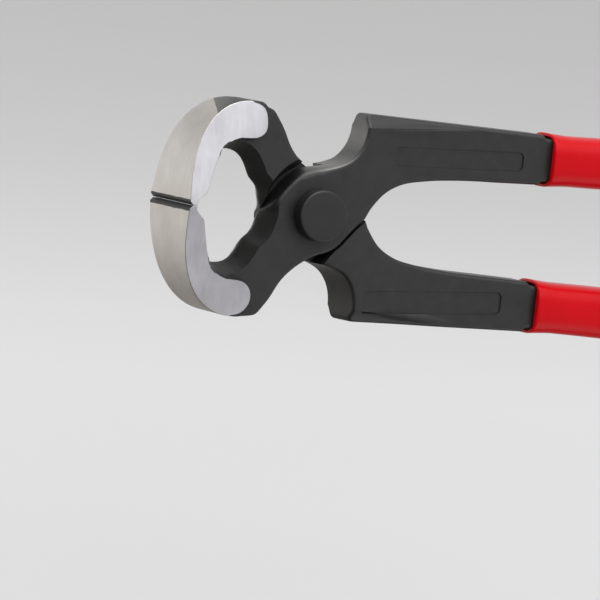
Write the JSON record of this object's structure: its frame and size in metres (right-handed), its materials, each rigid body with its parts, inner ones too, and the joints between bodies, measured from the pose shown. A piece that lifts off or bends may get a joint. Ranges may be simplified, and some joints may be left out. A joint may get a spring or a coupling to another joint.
{
  "type": "carpenter's pincers",
  "caption": "Nail-pulling pincers with broad ground end-cutting jaws, a lapped rivet joint and dipped plastic grips.",
  "frame": {"origin": "centre of the rivet's lower flat end face, on the pivot axis", "axes": "+X along the handles, +Z along the rivet, so the tool lies flat; +Y towards the front lever's handle"},
  "size_m": [0.21, 0.0512, 0.0238],
  "materials": {
    "forged_steel": "satin black oxide on a forging, jaws ground bright",
    "rivet_steel": "satin black oxide on turned steel",
    "dipped_plastic": "glossy red dipped plastic"
  },
  "bodies": {
    "front_half": {"front_lever": "forged_steel", "rivet": "rivet_steel", "front_grip": "dipped_plastic"},
    "rear_half": {"rear_lever": "forged_steel", "rear_grip": "dipped_plastic"}
  },
  "joints": [
    {"name": "lever_pivot", "type": "hinge", "parent": "front_half", "child": "rear_half", "pos_m": [0, 0, 0.0103], "axis": [0, 0, -1], "range_deg": [-0.3, 24]}
  ]
}
